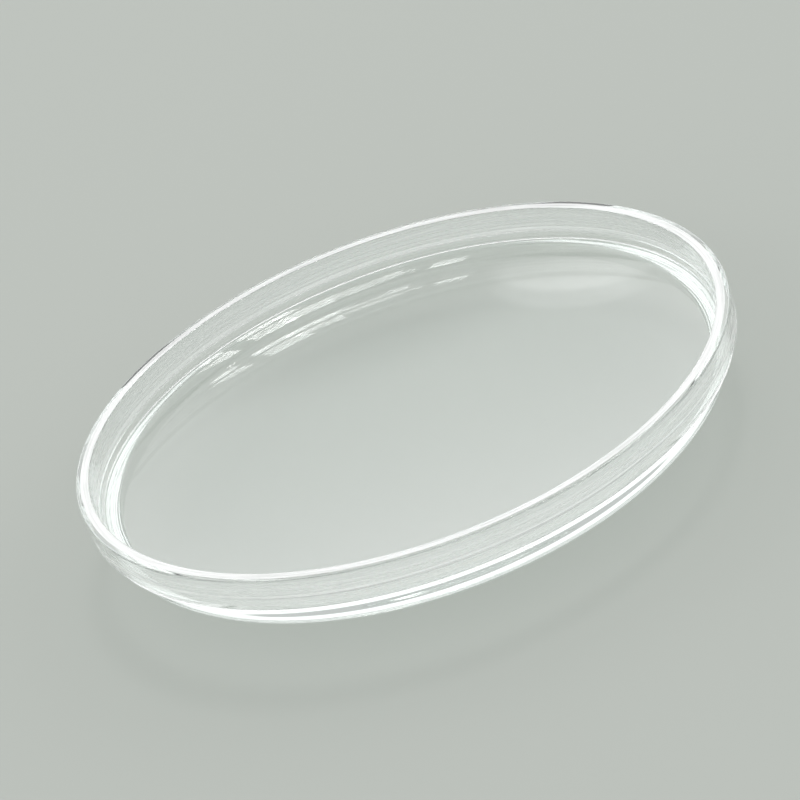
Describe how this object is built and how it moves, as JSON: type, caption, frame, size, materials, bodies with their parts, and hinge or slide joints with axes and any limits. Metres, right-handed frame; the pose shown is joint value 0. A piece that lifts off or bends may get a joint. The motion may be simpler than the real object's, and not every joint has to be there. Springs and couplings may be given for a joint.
{
  "type": "watch crystal",
  "caption": "Clear domed plastic watch crystal with a straight skirt, a step and a narrow lip outside it and a counterbore inside its rim, lying on its dome.",
  "frame": {"origin": "the crown, which is the outermost point of the dome, on the axis: the crystal lies on it, open side up", "axes": "+Z along the crystal's axis, from the crown through the open side into the watch case. X and Y are any two across it, because it is round."},
  "size_m": [0.032, 0.032, 0.0048],
  "materials": {
    "clear_plastic": "polished dome, fine-turned skirt"
  },
  "bodies": {
    "root": {"crystal": "clear_plastic"}
  },
  "joints": []
}
